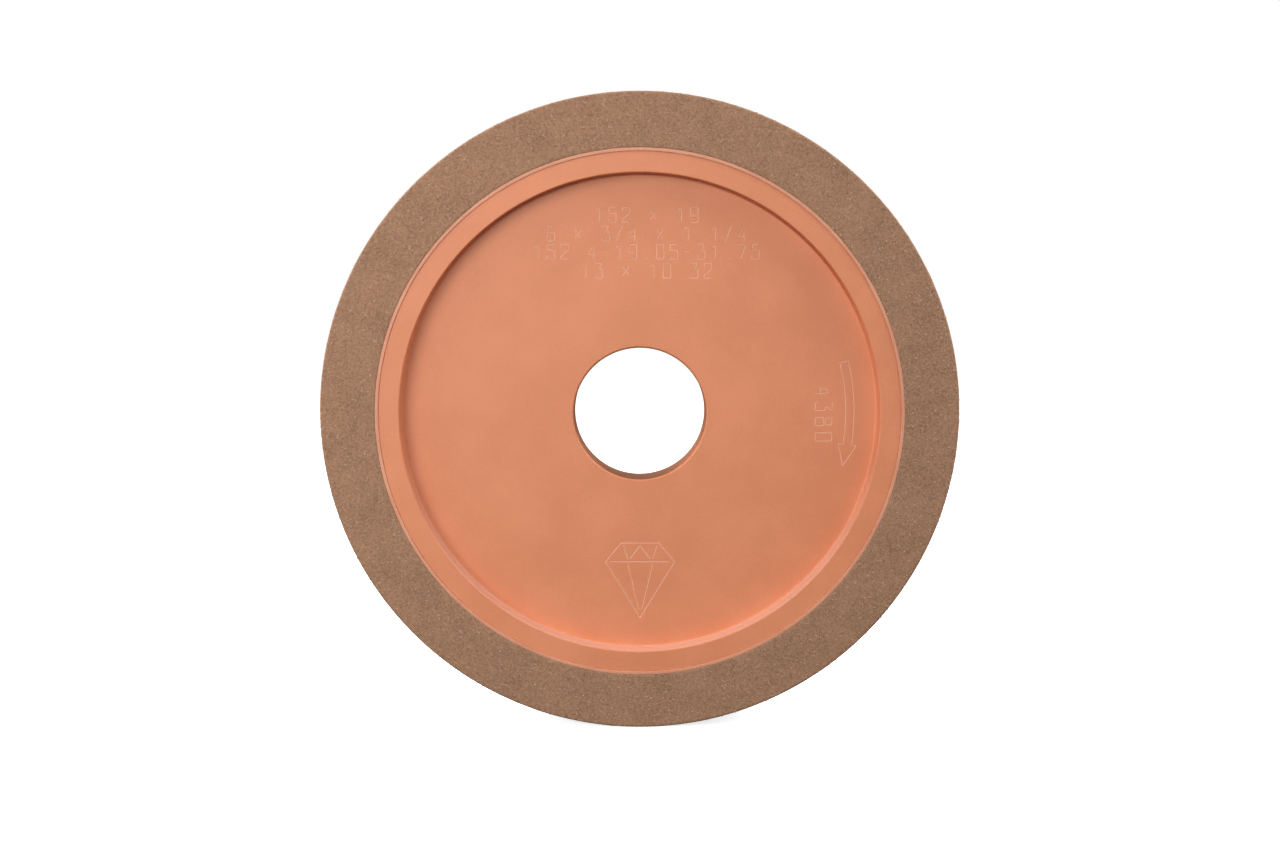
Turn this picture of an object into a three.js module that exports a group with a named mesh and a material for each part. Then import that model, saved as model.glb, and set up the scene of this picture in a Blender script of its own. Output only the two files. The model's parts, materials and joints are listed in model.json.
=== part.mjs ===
// Diamond grinding wheel: a moulded hub with a flange recess in each side, a thin undiamonded backing
// ring bonded round it, and the diamond rim bonded round that.
// Millimetres, +Z up. The wheel stands upright: its axis is Y, its centre is the origin, and its front
// face looks along -Y.
import * as THREE from "three";

// Driving dimensions, in millimetres and degrees
const wheelDiameter = 152.4;
const wheelWidth = 19.05;
const boreDiameter = 31.75;
const rimDepth = 13; // diamond section, from its inside to the wheel's outside
const backingThickness = 0.75;
const landWidth = 4.75; // hub's flat outer band, from the recess chamfer to the backing ring
const landRelief = 0.25; // each land lies this far below the faces of the two rings
const webThickness = 10.32; // between the two recess floors
const recessFillet = 0.5; // between the recess floor and its wall
const recessDraft = 4; // degrees that the recess wall opens towards its mouth
const recessChamfer = 0.25;
const boreChamfer = 0.4;
const rimChamfer = 0.3;
const bondClearance = 0.05; // radial room for the bond between two rings
const facetsRound = 120; // facets round the wheel
const facetsInFillet = 4;

// Radii and half widths, worked out from the dimensions above, from the outside inwards
const rimOuterRadius = wheelDiameter / 2;
const rimInnerRadius = rimOuterRadius - rimDepth;
const backingOuterRadius = rimInnerRadius - bondClearance;
const backingInnerRadius = backingOuterRadius - backingThickness;
const hubRadius = backingInnerRadius - bondClearance;
const recessMouthRadius = hubRadius - landWidth - recessChamfer;
const boreRadius = boreDiameter / 2;
const halfWidth = wheelWidth / 2;
const hubHalfWidth = halfWidth - landRelief;
const webHalfWidth = webThickness / 2;

// A closed ring about the wheel's axis. The section is given for the +Y half only, as [radius, y] from
// the inside of the ring to its outside, and is mirrored in the wheel's middle plane.
function ring(name, halfSection, material) {
  const frontHalf = halfSection.map(([radius, y]) => new THREE.Vector2(radius, -y));
  const backHalf = halfSection.map(([radius, y]) => new THREE.Vector2(radius, y)).reverse();
  const section = [...frontHalf, ...backHalf, frontHalf[0]];
  const mesh = new THREE.Mesh(new THREE.LatheGeometry(section, facetsRound), material);
  mesh.name = name;
  return mesh;
}

// The rounded corner between the recess floor and its drafted wall, from the floor to the wall.
// The fillet leaves a little straight wall below the chamfer, however shallow the recess is.
function recessCorner() {
  const draft = THREE.MathUtils.degToRad(recessDraft);
  const wallTop = hubHalfWidth - recessChamfer;
  const fillet = Math.min(recessFillet, 0.8 * (wallTop - webHalfWidth));
  const wallFoot = webHalfWidth + fillet * (1 - Math.sin(draft));
  const wallFootRadius = recessMouthRadius - (wallTop - wallFoot) * Math.tan(draft);
  const centreRadius = wallFootRadius - fillet * Math.cos(draft);
  const points = [];
  for (let i = 0; i <= facetsInFillet; i++) {
    const angle = THREE.MathUtils.lerp(-Math.PI / 2, -draft, i / facetsInFillet);
    points.push([
      centreRadius + fillet * Math.cos(angle),
      webHalfWidth + fillet * (1 + Math.sin(angle)),
    ]);
  }
  return points;
}

function makeHub() {
  const material = new THREE.MeshStandardMaterial({ color: 0xd88d68, roughness: 0.45, metalness: 0 });
  return ring("hub_core", [
    [boreRadius, webHalfWidth - boreChamfer],
    [boreRadius + boreChamfer, webHalfWidth],
    ...recessCorner(),
    [recessMouthRadius, hubHalfWidth - recessChamfer],
    [recessMouthRadius + recessChamfer, hubHalfWidth],
    [hubRadius, hubHalfWidth],
  ], material);
}

function makeBackingRing() {
  const material = new THREE.MeshStandardMaterial({ color: 0xde9778, roughness: 0.6, metalness: 0 });
  return ring("backing_ring", [
    [backingInnerRadius, halfWidth],
    [backingOuterRadius, halfWidth],
  ], material);
}

function makeDiamondRim() {
  const material = new THREE.MeshStandardMaterial({ color: 0x9c775e, roughness: 0.9, metalness: 0 });
  return ring("diamond_rim", [
    [rimInnerRadius, halfWidth],
    [rimOuterRadius - rimChamfer, halfWidth],
    [rimOuterRadius, halfWidth - rimChamfer],
  ], material);
}

const wheel = new THREE.Group();
wheel.add(makeHub(), makeBackingRing(), makeDiamondRim());

export default wheel;
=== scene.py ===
import json
import math

import bpy
from mathutils import Matrix, Vector


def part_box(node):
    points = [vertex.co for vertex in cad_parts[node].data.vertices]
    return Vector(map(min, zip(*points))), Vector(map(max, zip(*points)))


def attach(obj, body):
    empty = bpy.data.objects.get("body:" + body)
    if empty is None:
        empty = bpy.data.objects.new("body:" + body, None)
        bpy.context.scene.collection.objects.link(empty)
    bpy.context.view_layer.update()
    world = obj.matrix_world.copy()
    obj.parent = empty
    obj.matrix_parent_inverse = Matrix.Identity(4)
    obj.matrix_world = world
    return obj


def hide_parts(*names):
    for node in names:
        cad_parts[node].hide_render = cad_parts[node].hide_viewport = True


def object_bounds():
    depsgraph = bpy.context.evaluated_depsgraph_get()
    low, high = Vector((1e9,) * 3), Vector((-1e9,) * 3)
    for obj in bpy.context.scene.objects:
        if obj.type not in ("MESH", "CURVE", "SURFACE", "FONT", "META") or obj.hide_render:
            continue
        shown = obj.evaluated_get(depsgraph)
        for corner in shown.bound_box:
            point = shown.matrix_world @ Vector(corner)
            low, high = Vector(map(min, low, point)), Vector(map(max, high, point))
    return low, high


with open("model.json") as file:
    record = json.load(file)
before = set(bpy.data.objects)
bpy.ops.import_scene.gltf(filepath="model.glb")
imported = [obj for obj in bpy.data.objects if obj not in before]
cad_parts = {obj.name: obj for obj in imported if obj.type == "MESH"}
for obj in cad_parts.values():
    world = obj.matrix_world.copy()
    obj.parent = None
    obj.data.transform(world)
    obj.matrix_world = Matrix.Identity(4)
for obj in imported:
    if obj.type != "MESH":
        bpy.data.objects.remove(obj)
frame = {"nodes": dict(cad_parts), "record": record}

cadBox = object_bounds()
mm = 0.001
print("frame loaded:", ", ".join(sorted(frame["nodes"])))


class Wire:
    # One output of a node. Arithmetic on it adds Math nodes to the same tree.
    def __init__(self, graph, socket):
        self.graph = graph
        self.socket = socket

    def math(self, operation, *values):
        return self.graph.node("ShaderNodeMath", {"operation": operation}, dict(enumerate(values)))

    def __add__(self, other):
        return self.math("ADD", self, other)

    def __sub__(self, other):
        return self.math("SUBTRACT", self, other)

    def __rsub__(self, other):
        return self.math("SUBTRACT", other, self)

    def __mul__(self, other):
        return self.math("MULTIPLY", self, other)

    def __rtruediv__(self, other):
        return self.math("DIVIDE", other, self)

    def __gt__(self, other):
        return self.math("GREATER_THAN", self, other)

    __radd__ = __add__
    __rmul__ = __mul__


class Graph:
    # A node tree that is being written, for a material or for Geometry Nodes.
    def __init__(self, tree):
        self.tree = tree

    def node(self, kind, settings=None, sockets=None, output=0):
        made = self.tree.nodes.new(kind)
        for key, value in (settings or {}).items():
            setattr(made, key, value)
        for key, value in (sockets or {}).items():
            if isinstance(value, Wire):
                self.tree.links.new(value.socket, made.inputs[key])
            else:
                made.inputs[key].default_value = value
        return Wire(self, made.outputs[output])

    def vector(self, operation, *values, output=0):
        settings = {"operation": operation}
        return self.node("ShaderNodeVectorMath", settings, dict(enumerate(values)), output)

    def blend(self, factor, first, second):
        # A mix of two colours, each a wire or a plain colour
        colours = [c if isinstance(c, Wire) else (*c, 1) for c in (first, second)]
        sockets = {0: factor, 6: colours[0], 7: colours[1]}
        return self.node("ShaderNodeMix", {"data_type": "RGBA"}, sockets, 2)

    def band(self, value, start, end):
        # 0 below start and 1 above end, with a smooth step between
        limits = {"Value": value, "From Min": start, "From Max": end}
        return self.node("ShaderNodeMapRange", {"interpolation_type": "SMOOTHSTEP"}, limits)

    def noise(self, place, size, detail=2.0, roughness=0.5):
        # Noise from 0 to 1 whose features are about size across
        sockets = {"Vector": place, "Scale": 1 / size, "Detail": detail, "Roughness": roughness}
        return self.node("ShaderNodeTexNoise", None, sockets)

    def around(self, middle, spread, noise):
        # A value that noise varies over a spread about its middle
        return noise * spread + (middle - spread / 2)

    def wheelRadius(self, place):
        # Distance from the wheel's axis
        return self.vector("LENGTH", self.vector("MULTIPLY", place, (1, 0, 1)), output="Value")


class Finish(Graph):
    # A material on a Principled shader; surface holds values for the shader's own sockets.
    def __init__(self, name, surface):
        self.material = bpy.data.materials.new(name)
        self.material.use_nodes = True
        super().__init__(self.material.node_tree)
        self.shader = next(n for n in self.tree.nodes if n.type == "BSDF_PRINCIPLED")
        for socket, value in surface.items():
            self.shader.inputs[socket].default_value = value
        self.place = self.node("ShaderNodeTexCoord", None, None, "Object")
        self.radius = self.wheelRadius(self.place)

    def feed(self, socket, wire):
        self.tree.links.new(wire.socket, self.shader.inputs[socket])

    def bump(self, height, distance):
        sockets = {"Height": height, "Distance": distance}
        self.feed("Normal", self.node("ShaderNodeBump", None, sockets))


class Recipe(Graph):
    # A Geometry Nodes tree with named inputs, whose values can be changed for each piece.
    kinds = {
        float: "NodeSocketFloat",
        int: "NodeSocketInt",
        bpy.types.Material: "NodeSocketMaterial",
    }

    def __init__(self, name, inputs):
        super().__init__(bpy.data.node_groups.new(name, "GeometryNodeTree"))
        face = self.tree.interface
        for way in ("INPUT", "OUTPUT"):
            face.new_socket("Geometry", in_out=way, socket_type="NodeSocketGeometry")
        self.inputs = inputs
        self.identifiers = {}
        for label, value in inputs.items():
            socket = face.new_socket(label, in_out="INPUT", socket_type=self.kinds[type(value)])
            self.identifiers[label] = socket.identifier
        self.source = self.tree.nodes.new("NodeGroupInput")

    def given(self, label):
        return Wire(self, self.source.outputs[label])

    def attribute(self, name):
        sockets = {"Name": name}
        return self.node("GeometryNodeInputNamedAttribute", {"data_type": "FLOAT"}, sockets)

    def close(self, geometry, material):
        whole = self.node("GeometryNodeRealizeInstances", None, {0: geometry})
        sockets = {"Geometry": whole, "Material": material}
        dressed = self.node("GeometryNodeSetMaterial", None, sockets)
        end = self.tree.nodes.new("NodeGroupOutput")
        self.tree.links.new(dressed.socket, end.inputs["Geometry"])

    def run(self, piece, **changes):
        # Runs the tree on a piece and leaves the result as its plain mesh.
        modifier = piece.modifiers.new(self.tree.name, "NODES")
        modifier.node_group = self.tree
        for label, value in {**self.inputs, **changes}.items():
            modifier[self.identifiers[label]] = value
        freeze(piece)


def freeze(piece):
    # Replaces a piece's modifiers by their result.
    depsgraph = bpy.context.evaluated_depsgraph_get()
    result = bpy.data.meshes.new_from_object(piece.evaluated_get(depsgraph))
    piece.modifiers.clear()
    piece.data, old = result, piece.data
    bpy.data.meshes.remove(old)
    result.name = piece.name


def drawLines(name, runs):
    # A mesh of polylines in X and Y. A run is a list of (x, y, corner radius), closed if its
    # ends meet.
    points, edges, rounds = [], [], []
    for run in runs:
        closed = math.dist(run[0][:2], run[-1][:2]) < 0.001 * mm
        first = len(points)
        kept = run[:-1] if closed else run
        for x, y, corner in kept:
            points.append((x, y, 0))
            rounds.append(corner)
        edges += [(i, i + 1) for i in range(first, len(points) - 1)]
        if closed:
            edges.append((len(points) - 1, first))
    mesh = bpy.data.meshes.new(name)
    mesh.from_pydata(points, edges, [])
    mesh.attributes.new("round", "FLOAT", "POINT").data.foreach_set("value", rounds)
    piece = bpy.data.objects.new(name, mesh)
    bpy.context.scene.collection.objects.link(piece)
    return piece


def aim(thing, place, target):
    thing.location = place
    thing.rotation_euler = (Vector(target) - Vector(place)).to_track_quat("-Z", "Y").to_euler()
    bpy.context.scene.collection.objects.link(thing)


camera = {
    "distance": 392.6 * mm,  # from the middle of the wheel's front face
    "elevation": 5.97,
    "azimuth": -0.3,
    "lens": 46.36,
    "sensorWidth": 36,
    "aimBelowCentre": 2.47 * mm,
}


def makeCamera():
    data = bpy.data.cameras.new("camera")
    data.lens = camera["lens"]
    data.sensor_width = camera["sensorWidth"]
    data.clip_start = 0.01
    shot = bpy.data.objects.new("camera", data)
    up = math.radians(camera["elevation"])
    aside = math.radians(camera["azimuth"])
    back = Vector((math.sin(aside) * math.cos(up), -math.cos(aside) * math.cos(up), math.sin(up)))
    faceCentre = Vector((0, cadBox[0].y, 0))
    target = faceCentre - Vector((0, 0, camera["aimBelowCentre"]))
    aim(shot, faceCentre + back * camera["distance"], target)
    bpy.context.scene.camera = shot


makeCamera()
print("camera placed")


hub = {
    "boreRadius": 15.875 * mm,
    "boreChamfer": 0.4 * mm,
    "landWidth": 4.75 * mm,
    "mouthChamfer": 0.25 * mm,
    "floorRound": 0.5 * mm,
    "wallDraft": 4,  # degrees
    "edgeRound": 0.12 * mm,
}


def seatDepth():
    # The web's half thickness, from the seat that the record states on it
    seat = next(m for m in frame["record"]["mounts"] if m["name"] == "flange_seat_back")
    return seat["pos_m"][1]


def recessRadii():
    # Radii of the recess wall where it meets the floor, and where it meets its mouth's chamfer
    _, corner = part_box("hub_core")
    mouth = corner.x - hub["landWidth"] - hub["mouthChamfer"]
    wallHeight = corner.y - hub["mouthChamfer"] - seatDepth()
    return mouth - wallHeight * math.tan(math.radians(hub["wallDraft"])), mouth


hubLook = {
    "colour": (0.70, 0.247, 0.118),
    "deepColour": (0.64, 0.217, 0.098),
    "cutColour": (0.85, 0.50, 0.36),
    "engravedFreshness": 0.6,
    "paintedWallShading": (0.46, 0.09, 0.018),  # painted shade: the recess wall's top part, which faces down, made darker and deeper in colour
    "paintedShadeHeights": (14 * mm, 48 * mm),  # above the axis, where the painted shade begins and where it is full
    "paintedHighlightColour": (0.74, 0.37, 0.255),  # painted highlight: the wall's bottom part, which faces up, made paler
    "paintedHighlightHeights": (-40 * mm, -4 * mm),  # where the painted highlight is full and where it ends
    "paintedBoreShade": (0.40, 0.145, 0.062),  # painted shade: the bore's wall, darker where little light reaches inside it
    "tintSoftness": 0.1 * mm,
    "mottleSize": 16 * mm,
    "fillerSize": 0.5 * mm,
    "ringPitch": 0.35 * mm,
    "ringDepth": 0.006 * mm,
    "shares": (0.6, 0.25, 0.15),  # of mottle, filler and rings in the colour
    "toneBand": (0.36, 0.64),
    "roughness": 0.5,
    "roughnessSpread": 0.18,
    "ior": 1.45,
    "burnish": 0.6,  # how metallic the copper powder looks on the burnished walls
    "sheen": 0.06,  # pale powder left on every machined face, seen at a glancing angle
    "sheenRoughness": 0.35,
}


def hubFinish(name, freshness):
    # Moulded resin filled with copper powder, with the faint rings that its facing cut left.
    # Freshness is 1 where the surface is newly cut, as in the engraved marks.
    # Besides the material, this paints shade on the top of the recess wall and on the bore's wall,
    # and a highlight on the wall's bottom.
    mix = Finish(name, {
        "IOR": hubLook["ior"],
        "Sheen Weight": hubLook["sheen"],
        "Sheen Roughness": hubLook["sheenRoughness"],
    })
    mottle = mix.noise(mix.place, hubLook["mottleSize"], 3.0, 0.55)
    filler = mix.noise(mix.place, hubLook["fillerSize"], 2.0, 0.6)
    rings = mix.node("ShaderNodeTexNoise", {"noise_dimensions": "1D"}, {
        "W": mix.radius, "Scale": 1 / hubLook["ringPitch"], "Detail": 2.0, "Roughness": 0.7,
    })
    mottleShare, fillerShare, ringShare = hubLook["shares"]
    texture = mottle * mottleShare + filler * fillerShare + rings * ringShare
    tone = mix.band(texture, *hubLook["toneBand"])
    colour = mix.blend(tone, hubLook["deepColour"], hubLook["colour"])
    colour = mix.blend(freshness, colour, hubLook["cutColour"])
    height = mix.node("ShaderNodeSeparateXYZ", None, {"Vector": mix.place}, "Z")
    # Painted highlight: the recess wall is paler towards its bottom, which faces up
    lower = mix.blend(mix.band(height, *hubLook["paintedHighlightHeights"]), hubLook["paintedHighlightColour"], colour)
    # Painted shade: the recess wall is darker towards its top, which faces down
    upper = mix.band(height, *hubLook["paintedShadeHeights"])
    paintedWallShading = mix.blend(upper, lower, hubLook["paintedWallShading"])
    soft = hubLook["tintSoftness"]
    footRadius, mouthRadius = recessRadii()
    wall = mix.band(mix.radius, footRadius - soft, footRadius)
    wall = wall - mix.band(mix.radius, mouthRadius, mouthRadius + soft)
    # The recess wall takes the painted shade at its top and the painted highlight at its bottom
    colour = mix.blend(wall, colour, paintedWallShading)
    # Painted shade on the bore's wall
    boreEdge = hub["boreRadius"] + soft
    beyondBore = mix.band(mix.radius, boreEdge, boreEdge + soft)
    mix.feed("Base Color", mix.blend(beyondBore, hubLook["paintedBoreShade"], colour))
    mix.feed("Metallic", (wall * upper + (1 - beyondBore)) * hubLook["burnish"])
    gloss = mottle * 0.55 + filler * 0.45
    mix.feed("Roughness", mix.around(hubLook["roughness"], hubLook["roughnessSpread"], gloss))
    mix.bump(rings * 0.7 + filler * 0.5, hubLook["ringDepth"])
    return mix.material


backingLook = {
    "colour": (0.68, 0.31, 0.186),
    "deepColour": (0.59, 0.238, 0.137),
    "grainSize": 0.45 * mm,
    "grainDepth": 0.015 * mm,
    "patchSize": 8 * mm,
    "toneBand": (0.35, 0.65),
    "roughness": 0.6,
    "roughnessSpread": 0.2,
    "ior": 1.48,
}


def backingFinish():
    # Unfilled bond resin, trued flat together with the rim
    mix = Finish("backing_resin", {"IOR": backingLook["ior"]})
    grain = mix.noise(mix.place, backingLook["grainSize"], 3.0, 0.6)
    patch = mix.noise(mix.place, backingLook["patchSize"], 2.0)
    tone = mix.band(grain * 0.6 + patch * 0.4, *backingLook["toneBand"])
    mix.feed("Base Color", mix.blend(tone, backingLook["deepColour"], backingLook["colour"]))
    gloss = mix.around(backingLook["roughness"], backingLook["roughnessSpread"], grain)
    mix.feed("Roughness", gloss)
    mix.bump(grain, backingLook["grainDepth"])
    return mix.material


bondLook = {
    "colour": (0.353, 0.191, 0.109),
    "pitColour": (0.225, 0.118, 0.067),
    "speckColour": (0.54, 0.335, 0.213),
    "grainSize": 0.55 * mm,
    "grainDepth": 0.10 * mm,
    "dustSize": 0.26 * mm,
    "patchSize": 9 * mm,
    "shares": (0.55, 0.3, 0.15),  # of grain, dust and patches in the colour
    "pitBand": (0.36, 0.56),
    "speckBand": (0.56, 0.72),
    "roughness": 0.86,
    "roughnessSpread": 0.2,
    "ior": 1.45,
}


def bondFinish():
    # Brown resin bond, open and granular, with pits between pale diamond grains
    mix = Finish("diamond_bond", {"IOR": bondLook["ior"]})
    grain = mix.noise(mix.place, bondLook["grainSize"], 3.0, 0.65)
    dust = mix.noise(mix.place, bondLook["dustSize"], 2.0, 0.7)
    patch = mix.noise(mix.place, bondLook["patchSize"], 2.0)
    grainShare, dustShare, patchShare = bondLook["shares"]
    texture = grain * grainShare + dust * dustShare + patch * patchShare
    aboveGround = mix.band(texture, *bondLook["pitBand"])
    pitted = mix.blend(aboveGround, bondLook["pitColour"], bondLook["colour"])
    specked = mix.band(texture, *bondLook["speckBand"])
    mix.feed("Base Color", mix.blend(specked, pitted, bondLook["speckColour"]))
    mix.feed("Roughness", mix.around(bondLook["roughness"], bondLook["roughnessSpread"], dust))
    mix.bump(grain * 0.7 + dust * 0.5, bondLook["grainDepth"])
    return mix.material


gritLook = {
    "paleColour": (0.42, 0.245, 0.152),
    "amberColour": (0.29, 0.155, 0.092),
    "toneSize": 1.1 * mm,
    "toneBand": (0.35, 0.65),
    "filmSize": 0.4 * mm,
    "roughness": 0.62,
    "roughnessSpread": 0.3,
    "ior": 1.6,
}


def gritFinish():
    # Diamond grit: tan to amber crystals, dulled by bond dust
    mix = Finish("diamond_grit", {"IOR": gritLook["ior"]})
    tone = mix.band(mix.noise(mix.place, gritLook["toneSize"], 1.0), *gritLook["toneBand"])
    film = mix.noise(mix.place, gritLook["filmSize"], 1.0)
    mix.feed("Base Color", mix.blend(tone, gritLook["amberColour"], gritLook["paleColour"]))
    mix.feed("Roughness", mix.around(gritLook["roughness"], gritLook["roughnessSpread"], film))
    return mix.material


hubResin = hubFinish("hub_resin", 0.0)
cutResin = hubFinish("cut_resin", hubLook["engravedFreshness"])
backingResin = backingFinish()
diamondBond = bondFinish()
diamondGrit = gritFinish()
print("finishes made")


def ringRecipe():
    # Turns a section about the Y axis. The section is a closed polyline of (distance outside the
    # inner radius, y), and its "round" attribute holds the radius of each corner.
    tree = Recipe("turned ring", {
        "Inner Radius": 10 * mm,
        "Facets Round": 512,
        "Corner Facets": 5,
        "Relief Size": 1 * mm,
        "Relief Height": 0.0,
        "Relief Start": 0.3 * mm,
        "Finish": hubResin,
    })
    outline = tree.node("GeometryNodeMeshToCurve", None, {"Mesh": tree.given("Geometry")})
    cornerRadius = tree.attribute("round")
    section = tree.node("GeometryNodeFilletCurve", {"mode": "POLY"}, {
        "Curve": outline,
        "Count": tree.given("Corner Facets"),
        "Radius": cornerRadius,
        "Limit Radius": True,
    })
    circle = tree.node("GeometryNodeCurvePrimitiveCircle", {"mode": "RADIUS"}, {
        "Resolution": tree.given("Facets Round"), "Radius": tree.given("Inner Radius"),
    })
    lying = tree.node("GeometryNodeCurveToMesh", None, {"Curve": circle, "Profile Curve": section})
    standing = tree.node("GeometryNodeTransform", None, {
        "Geometry": lying, "Rotation": (math.pi / 2, 0, 0),
    })
    place = tree.node("GeometryNodeInputPosition")
    lumps = tree.noise(place, tree.given("Relief Size"), 2.0, 0.6)
    outside = tree.wheelRadius(place) > tree.given("Inner Radius") + tree.given("Relief Start")
    rise = (lumps - 0.5) * tree.given("Relief Height") * outside
    offset = tree.node("ShaderNodeVectorMath", {"operation": "SCALE"}, {
        0: tree.node("GeometryNodeInputNormal"), "Scale": rise,
    })
    rough = tree.node("GeometryNodeSetPosition", None, {"Geometry": standing, "Offset": offset})
    tree.close(tree.node("GeometryNodeSetShadeSmooth", None, {0: rough}), tree.given("Finish"))
    return tree


turnedRing = ringRecipe()


def turn(name, halfSection, **inputs):
    # Makes a ring from the +Y half of its section, given from the inside out as
    # (radius, y, corner radius).
    innerRadius = halfSection[0][0]
    front = [(radius - innerRadius, -y, corner) for radius, y, corner in halfSection]
    back = [(radius - innerRadius, y, corner) for radius, y, corner in reversed(halfSection)]
    ring = drawLines(name, [front + back + front[:1]])
    turnedRing.run(ring, **{"Inner Radius": innerRadius}, **inputs)
    return ring


shading = {
    "sharpAngle": 38,  # degrees between two faces whose edge stays crisp
    "flatWeight": 80,  # how far large faces decide the shading of the edges beside them
}


def evenNormals(piece):
    # Keeps flat faces flat beside their small rounded edges.
    piece.data.set_sharp_from_angle(angle=math.radians(shading["sharpAngle"]))
    weighted = piece.modifiers.new("even normals", "WEIGHTED_NORMAL")
    weighted.keep_sharp = True
    weighted.weight = shading["flatWeight"]
    freeze(piece)


def makeHub():
    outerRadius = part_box("hub_core")[1].x
    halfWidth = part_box("hub_core")[1].y
    webHalf = seatDepth()
    footRadius, mouthRadius = recessRadii()
    edge = hub["edgeRound"]
    return turn("hub", [
        (hub["boreRadius"], webHalf - hub["boreChamfer"], edge),
        (hub["boreRadius"] + hub["boreChamfer"], webHalf, edge),
        (footRadius, webHalf, hub["floorRound"]),
        (mouthRadius, halfWidth - hub["mouthChamfer"], edge),
        (mouthRadius + hub["mouthChamfer"], halfWidth, edge),
        (outerRadius, halfWidth, edge),
    ], Finish=hubResin)


backing = {"edgeRound": 0.1 * mm}


def makeBacking():
    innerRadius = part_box("hub_core")[1].x  # the bond leaves no gap
    outerRadius, halfWidth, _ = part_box("backing_ring")[1]
    edge = backing["edgeRound"]
    corners = [(innerRadius, halfWidth, edge), (outerRadius, halfWidth, edge)]
    ring = turn("backing", corners, Finish=backingResin)
    evenNormals(ring)
    return ring


rim = {
    "outerChamfer": 0.3 * mm,
    "edgeRound": 0.1 * mm,
    "meshStep": 0.52 * mm,
    "facetsRound": 920,
    "reliefSize": 1.1 * mm,
    "reliefHeight": 0.09 * mm,
}


def stepped(first, last, step):
    # Points from first up to, but not including, last
    count = max(1, round(math.dist(first, last) / step))
    return [tuple(a + (b - a) * i / count for a, b in zip(first, last)) for i in range(count)]


def makeRim():
    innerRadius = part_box("backing_ring")[1].x
    outerRadius, halfWidth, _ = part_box("diamond_rim")[1]
    chamfer = rim["outerChamfer"]
    corners = [
        (innerRadius, halfWidth),
        (outerRadius - chamfer, halfWidth),
        (outerRadius, halfWidth - chamfer),
        (outerRadius, 0),
    ]
    halfSection = []
    for first, last in zip(corners, corners[1:]):
        for i, point in enumerate(stepped(first, last, rim["meshStep"])):
            halfSection.append((*point, rim["edgeRound"] if i == 0 else 0))
    return turn("diamondRim", halfSection, **{
        "Facets Round": rim["facetsRound"],
        "Corner Facets": 1,
        "Relief Size": rim["reliefSize"],
        "Relief Height": rim["reliefHeight"],
        "Finish": diamondBond,
    })


hubPiece = makeHub()
backingPiece = makeBacking()
rimPiece = makeRim()
print("rings turned")


marks = {
    "strokeWidth": 0.32 * mm,
    "strokeDepth": 0.13 * mm,
    "digitRound": 0.3 * mm,
    "outlineRound": 0.12 * mm,
    "cornerFacets": 3,
    "lift": 0.005 * mm,  # the cutter's middle line stands this far in front of the web
    "wheelSizes": [  # text, height of its middle above the axis
        ("152 x 19", 47.6 * mm),
        ("6 x 3/4 x 1 1/4", 43.2 * mm),
        ("152.4-19.05-31.75", 38.9 * mm),
        ("13 x 10.32", 34.4 * mm),
    ],
    "sizeDigits": 3.5 * mm,  # height of a digit
    "sizePitch": 3.25 * mm,
    "sizeOffset": 1.5 * mm,  # towards +X
    "speed": "4380",
    "speedRadius": 44.2 * mm,
    "speedDigits": 4 * mm,
    "speedPitch": 3.7 * mm,
    "arrowRadius": 50.5 * mm,
    "arrowWidth": 4.4 * mm,
    "arrowSweep": 29,  # degrees
    "arrowHead": 6,  # degrees
    "arrowShaft": 0.45,  # the shaft's width as a share of the head's
    "arrowSteps": 12,
    "gemWidth": 16.8 * mm,
    "gemBelowCentre": 40.3 * mm,
}

# Single-stroke digits on a grid; each stroke is a run of (x, y) points
gridWidth, gridHeight = 2, 4
digitStrokes = {
    "0": [[(0, 0), (2, 0), (2, 4), (0, 4), (0, 0)]],
    "1": [[(0.3, 3.1), (1.2, 4), (1.2, 0)]],
    "2": [[(0, 3), (0, 4), (2, 4), (2, 2.4), (0, 0.7), (0, 0), (2, 0)]],
    "3": [[(0, 4), (2, 4), (1, 2.4), (2, 2.4), (2, 0), (0, 0), (0, 0.8)]],
    "4": [[(1.5, 0), (1.5, 4), (0, 1.2), (2, 1.2)]],
    "5": [[(2, 4), (0.1, 4), (0, 2.4), (2, 2.4), (2, 0), (0, 0), (0, 0.8)]],
    "6": [[(1.9, 4), (0, 4), (0, 0), (2, 0), (2, 2.3), (0.3, 2.3)]],
    "7": [[(0, 4), (2, 4), (0.7, 0)]],
    "8": [
        [(0, 0), (2, 0), (2, 2), (0, 2), (0, 0)],
        [(0.2, 2.4), (1.8, 2.4), (1.8, 4), (0.2, 4), (0.2, 2.4)],
    ],
    "9": [[(0.1, 0), (2, 0), (2, 4), (0, 4), (0, 1.7), (1.7, 1.7)]],
    ".": [[(0.9, 0), (1.3, 0.3)]],
    "/": [[(0.1, -0.2), (1.9, 4.2)]],
    "-": [[(0.3, 2), (1.7, 2)]],
    "x": [[(0.2, 0.7), (1.8, 3)], [(0.2, 3), (0.8, 2.15)], [(1.2, 1.55), (1.8, 0.7)]],
    " ": [],
}


def writeDigits(text, height, pitch, middle, turnedBy=0.0):
    # Strokes of a row of digits centred on middle, turned clockwise by an angle in degrees
    scale = height / gridHeight
    spin = Matrix.Rotation(-math.radians(turnedBy), 2)
    strokes = []
    for i, letter in enumerate(text):
        left = (i - len(text) / 2) * pitch + (pitch - gridWidth * scale) / 2
        for stroke in digitStrokes[letter]:
            points = [Vector((left + x * scale, (y - gridHeight / 2) * scale)) for x, y in stroke]
            points = [spin @ point + Vector(middle) for point in points]
            strokes.append([(*point, marks["digitRound"]) for point in points])
    return strokes


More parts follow.
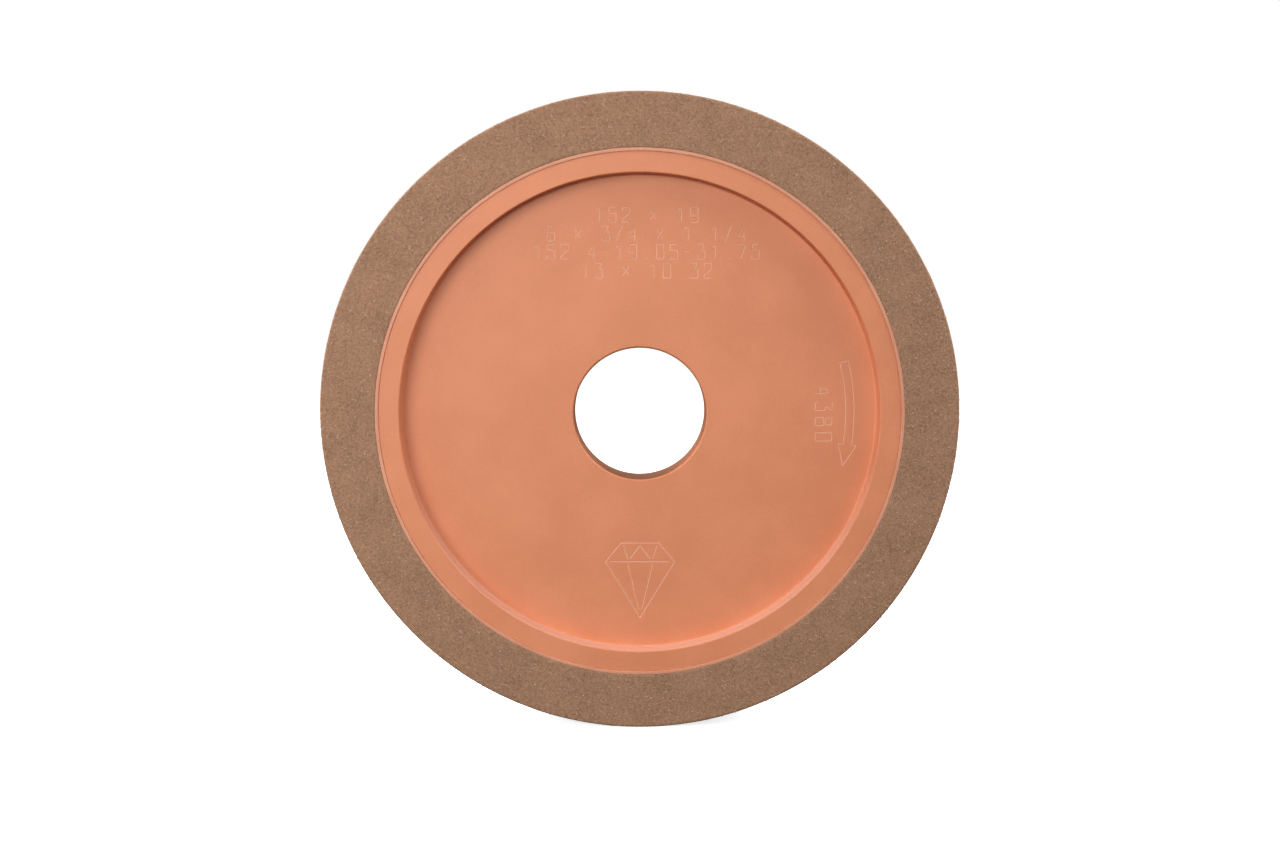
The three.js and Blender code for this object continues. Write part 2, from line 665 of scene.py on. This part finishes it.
def rotationArrow():
    # A curved arrow round the hub's right side, drawn as an outline
    radius, half = marks["arrowRadius"], marks["arrowWidth"] / 2
    start = math.radians(marks["arrowSweep"] / 2)
    end = -start
    neck = end + math.radians(marks["arrowHead"])
    shaft = half * marks["arrowShaft"]

    def at(distance, angle):
        return distance * math.cos(angle), distance * math.sin(angle), marks["outlineRound"]

    steps = marks["arrowSteps"]
    angles = [start + (neck - start) * i / steps for i in range(steps + 1)]
    outer = [at(radius + shaft, angle) for angle in angles]
    inner = [at(radius - shaft, angle) for angle in reversed(angles)]
    head = [at(radius + half, neck), at(radius, end), at(radius - half, neck)]
    outline = outer + head + inner
    return [outline + outline[:1]]


def gemOutline():
    # A cut stone seen from the side: flat table, girdle and point, with its facet lines
    scale = marks["gemWidth"] / 2
    low = -marks["gemBelowCentre"]

    def at(x, y):
        return x * scale, low + y * scale, marks["outlineRound"]

    table, girdle, tip = 1.05, 0.5, -1.15
    left, right = -0.55, 0.55
    top = [at(left, table), at(right, table)]
    outline = top + [at(1, girdle), at(0, tip), at(-1, girdle)] + top[:1]
    gap = 0.07  # between the outline and the facet lines
    return [
        outline,
        [at(-1 + 2 * gap, girdle), at(1 - 2 * gap, girdle)],
        [at(-0.36, girdle - gap), at(-0.04, tip + 3.4 * gap)],
        [at(0.36, girdle - gap), at(0.04, tip + 3.4 * gap)],
        [at(-0.36, girdle + gap), at(left + gap, table - gap)],
        [at(0.36, girdle + gap), at(right - gap, table - gap)],
        [at(-0.30, girdle + gap), at(0, table - gap), at(0.30, girdle + gap)],
    ]


def grooveRecipe():
    # Turns strokes drawn in X and Y into closed bars of a kite section, in the web's front face.
    tree = Recipe("engraving cutter", {
        "Width": marks["strokeWidth"],
        "Depth": marks["strokeDepth"],
        "Face": -seatDepth() - marks["lift"],
        "Finish": cutResin,
    })
    strokes = tree.node("GeometryNodeMeshToCurve", None, {"Mesh": tree.given("Geometry")})
    cornerRadius = tree.attribute("round")
    softened = tree.node("GeometryNodeFilletCurve", {"mode": "POLY"}, {
        "Curve": strokes,
        "Count": marks["cornerFacets"],
        "Radius": cornerRadius,
        "Limit Radius": True,
    })
    section = tree.node("GeometryNodeCurvePrimitiveQuadrilateral", {"mode": "KITE"}, {
        "Width": tree.given("Width"),
        "Bottom Height": tree.given("Depth"),
        "Top Height": tree.given("Depth"),
    })
    bars = tree.node("GeometryNodeCurveToMesh", None, {
        "Curve": softened, "Profile Curve": section, "Fill Caps": True,
    })
    lift = tree.node("ShaderNodeCombineXYZ", None, {"Y": tree.given("Face")})
    standing = tree.node("GeometryNodeTransform", None, {
        "Geometry": bars, "Translation": lift, "Rotation": (math.pi / 2, 0, 0),
    })
    tree.close(standing, tree.given("Finish"))
    return tree


def engrave(piece):
    strokes = rotationArrow() + gemOutline()
    for text, height in marks["wheelSizes"]:
        middle = marks["sizeOffset"], height
        strokes += writeDigits(text, marks["sizeDigits"], marks["sizePitch"], middle)
    middle = marks["speedRadius"], 0
    strokes += writeDigits(marks["speed"], marks["speedDigits"], marks["speedPitch"], middle, 90)
    cutter = drawLines("cutter", strokes)
    grooveRecipe().run(cutter)
    before = len(piece.data.polygons)
    cut = piece.modifiers.new("engraving", "BOOLEAN")
    cut.operation = "DIFFERENCE"
    cut.solver = "EXACT"
    cut.use_self = True
    cut.material_mode = "TRANSFER"
    cut.object = cutter
    freeze(piece)
    bpy.data.objects.remove(cutter)
    print("hub engraved:", before, "faces became", len(piece.data.polygons))


engrave(hubPiece)
evenNormals(hubPiece)


grit = {
    "density": 0.46e6,  # grains on a square metre
    "smallest": 0.16 * mm,  # a grain's half width
    "largest": 0.30 * mm,
    "proud": 0.05 * mm,
    "mostTurn": 6.28,  # radians about each axis
    "start": 0.5 * mm,  # grains keep this far from the backing ring
    "seed": 7,
}


def gritRecipe():
    # Scatters blocky diamond crystals over the rim's outside, with only their tips standing proud.
    tree = Recipe("diamond grit", {
        "Inner Radius": 10 * mm,
        "Density": grit["density"],
        "Smallest": grit["smallest"],
        "Largest": grit["largest"],
        "Proud": grit["proud"],
        "Start": grit["start"],
        "Seed": grit["seed"],
        "Finish": diamondGrit,
    })
    place = tree.node("GeometryNodeInputPosition")
    outside = tree.wheelRadius(place) > tree.given("Inner Radius") + tree.given("Start")
    distribute = {"distribute_method": "RANDOM"}
    scattered = tree.node("GeometryNodeDistributePointsOnFaces", distribute, {
        "Mesh": tree.given("Geometry"),
        "Selection": outside,
        "Density": tree.given("Density"),
        "Seed": tree.given("Seed"),
    })
    normal = Wire(tree, scattered.socket.node.outputs["Normal"])
    size = tree.node("FunctionNodeRandomValue", {"data_type": "FLOAT"}, {
        2: tree.given("Smallest"), 3: tree.given("Largest"), "Seed": tree.given("Seed"),
    }, 1)
    turned = tree.node("FunctionNodeRandomValue", {"data_type": "FLOAT_VECTOR"}, {
        0: (0, 0, 0), 1: (grit["mostTurn"],) * 3, "Seed": tree.given("Seed"),
    }, 0)
    cube = tree.node("GeometryNodeMeshCube", None, {"Size": (2, 2, 2)})
    edgeMiddles = tree.node("GeometryNodeMeshToPoints", {"mode": "EDGES"}, {"Mesh": cube})
    crystal = tree.node("GeometryNodeConvexHull", None, {"Geometry": edgeMiddles})
    sunk = tree.node("GeometryNodeSetPosition", None, {
        "Geometry": scattered,
        "Offset": tree.node("ShaderNodeVectorMath", {"operation": "SCALE"}, {
            0: normal, "Scale": tree.given("Proud") - size,
        }),
    })
    grains = tree.node("GeometryNodeInstanceOnPoints", None, {
        "Points": sunk, "Instance": crystal, "Rotation": turned, "Scale": size,
    })
    tree.close(grains, tree.given("Finish"))
    return tree


def scatterGrit(base):
    grains = bpy.data.objects.new("diamondGrit", base.data.copy())
    bpy.context.scene.collection.objects.link(grains)
    gritRecipe().run(grains, **{"Inner Radius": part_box("backing_ring")[1].x})
    print("diamond grit:", sum(len(p.vertices) - 2 for p in grains.data.polygons), "triangles")
    return grains


gritPiece = scatterGrit(rimPiece)


studio = {
    "floorSize": 4.0,
    "paleFloor": 0.90,
    "nearGlow": 0.75,  # added to the floor for the camera alone, as a white sweep would look
    "farGlow": 1.0,
    "glowRange": (0.2, 0.6),  # distances from the wheel's middle for the near and the far glow
    "floorBounce": 0.02,  # the floor's brightness to everything but the camera
    "ambient": 0.03,  # the white room's brightness to everything but the camera
    "softboxes": {  # turn to the left of the front, height angle, distance, size, power in watts
        "key": (34, 14, 0.55, 0.40, 2.1),
        "front": (0, 4, 0.75, 0.45, 1.77),
        "left": (80, 38, 0.60, 0.45, 1.7),
        "right": (-80, 38, 0.60, 0.45, 3.0),
        "top": (0, 80, 0.60, 0.30, 0.4),
        "backLeft": (118, 30, 0.60, 0.40, 4.0),
        "backRight": (-118, 30, 0.60, 0.40, 2.5),
    },
}


def makeFloor():
    half = studio["floorSize"] / 2
    z = cadBox[0].z
    mesh = bpy.data.meshes.new("floor")
    corners = [(-half, -half, z), (half, -half, z), (half, half, z), (-half, half, z)]
    mesh.from_pydata(corners, [], [(0, 1, 2, 3)])
    floor = bpy.data.objects.new("floor", mesh)
    bpy.context.scene.collection.objects.link(floor)
    paint = Finish("floor_paint", {
        "Roughness": 0.9,
        "Specular IOR Level": 0.1,
        "Emission Strength": 1,
    })
    seen = paint.node("ShaderNodeLightPath", output=0)
    dim, pale = ((level,) * 3 for level in (studio["floorBounce"], studio["paleFloor"]))
    paint.feed("Base Color", paint.blend(seen, dim, pale))
    distance = paint.vector("LENGTH", paint.place, output="Value")
    near, far = ((studio[key],) * 3 for key in ("nearGlow", "farGlow"))
    glow = paint.blend(paint.band(distance, *studio["glowRange"]), near, far)
    paint.feed("Emission Color", paint.blend(seen, (0, 0, 0), glow))
    mesh.materials.append(paint.material)


def makeWorld():
    # A white room, dimmer as a light than the camera sees it
    world = bpy.data.worlds.new("studio")
    world.use_nodes = True
    bpy.context.scene.world = world
    room = Graph(world.node_tree)
    seen = room.node("ShaderNodeLightPath", output=0)
    background = next(n for n in world.node_tree.nodes if n.type == "BACKGROUND")
    light = room.blend(seen, (studio["ambient"],) * 3, (1, 1, 1))
    room.tree.links.new(light.socket, background.inputs["Color"])


def makeSoftbox(name, turnLeft, heightAngle, distance, size, power):
    data = bpy.data.lights.new(name, "AREA")
    data.shape = "DISK"
    data.size = size
    data.energy = power
    left, up = math.radians(turnLeft), math.radians(heightAngle)
    level = math.cos(up)
    towards = Vector((-math.sin(left) * level, -math.cos(left) * level, math.sin(up)))
    aim(bpy.data.objects.new(name, data), towards * distance, (0, 0, 0))


makeFloor()
makeWorld()
for name, place in studio["softboxes"].items():
    makeSoftbox(name, *place)
bpy.context.scene.view_settings.view_transform = "Standard"
print("studio lit")

pieces = {
    "hub_core": (hubPiece, "hub_resin"),
    "backing_ring": (backingPiece, "backing_resin"),
    "diamond_rim": (rimPiece, "diamond_bond"),
}
for node, (piece, slot) in pieces.items():
    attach(piece, "root")
    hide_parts(node)
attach(gritPiece, "root")

bpy.context.view_layer.update()
